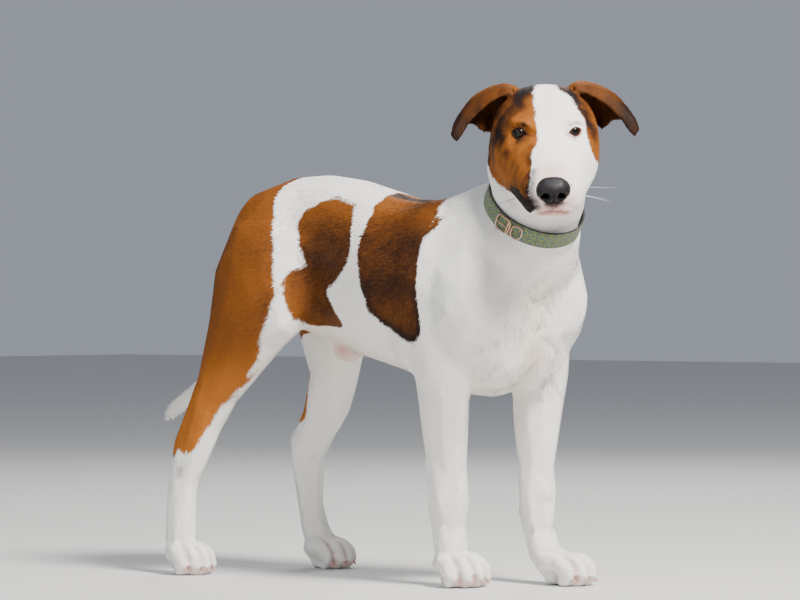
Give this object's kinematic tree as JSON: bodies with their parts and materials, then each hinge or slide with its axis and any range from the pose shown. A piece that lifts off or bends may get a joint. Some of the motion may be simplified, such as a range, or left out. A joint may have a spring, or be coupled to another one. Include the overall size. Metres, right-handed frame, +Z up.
{
  "type": "dog",
  "caption": "Young short-coated dog with rust patches on white, standing still on its paws with its head turned to its right, wearing a patterned fabric collar with a metal buckle and ring.",
  "frame": {"origin": "on the floor, under the middle of the whole dog's bounding box", "axes": "+X the way the body faces, +Y the dog's left, +Z up"},
  "size_m": [0.8064, 0.2818, 0.6619],
  "materials": {
    "coat": "short white hair with rust and dark patches",
    "rust": "short rust and dark brown hair on thin ears",
    "nose": "moist black nose leather",
    "eye": "wet dark brown eye",
    "horn": "pale horn claws",
    "webbing": "woven webbing faced with printed cloth",
    "bronze": "smooth bronze-coloured metal"
  },
  "bodies": {
    "root": {"collar": "webbing", "collar_buckle": "bronze", "collar_ring": "bronze", "head": "coat", "left_dewclaw": "horn", "left_ear": "rust", "left_eye": "eye", "left_fore_claw_1": "horn", "left_fore_claw_2": "horn", "left_fore_claw_3": "horn", "left_fore_claw_4": "horn", "left_fore_leg": "coat", "left_fore_paw": "coat", "left_hind_claw_1": "horn", "left_hind_claw_2": "horn", "left_hind_claw_3": "horn", "left_hind_claw_4": "horn", "left_hind_leg": "coat", "left_hind_paw": "coat", "neck": "coat", "nose": "nose", "right_dewclaw": "horn", "right_ear": "rust", "right_eye": "eye", "right_fore_claw_1": "horn", "right_fore_claw_2": "horn", "right_fore_claw_3": "horn", "right_fore_claw_4": "horn", "right_fore_leg": "coat", "right_fore_paw": "coat", "right_hind_claw_1": "horn", "right_hind_claw_2": "horn", "right_hind_claw_3": "horn", "right_hind_claw_4": "horn", "right_hind_leg": "coat", "right_hind_paw": "coat", "tail": "coat", "trunk": "coat"}
  },
  "joints": []
}
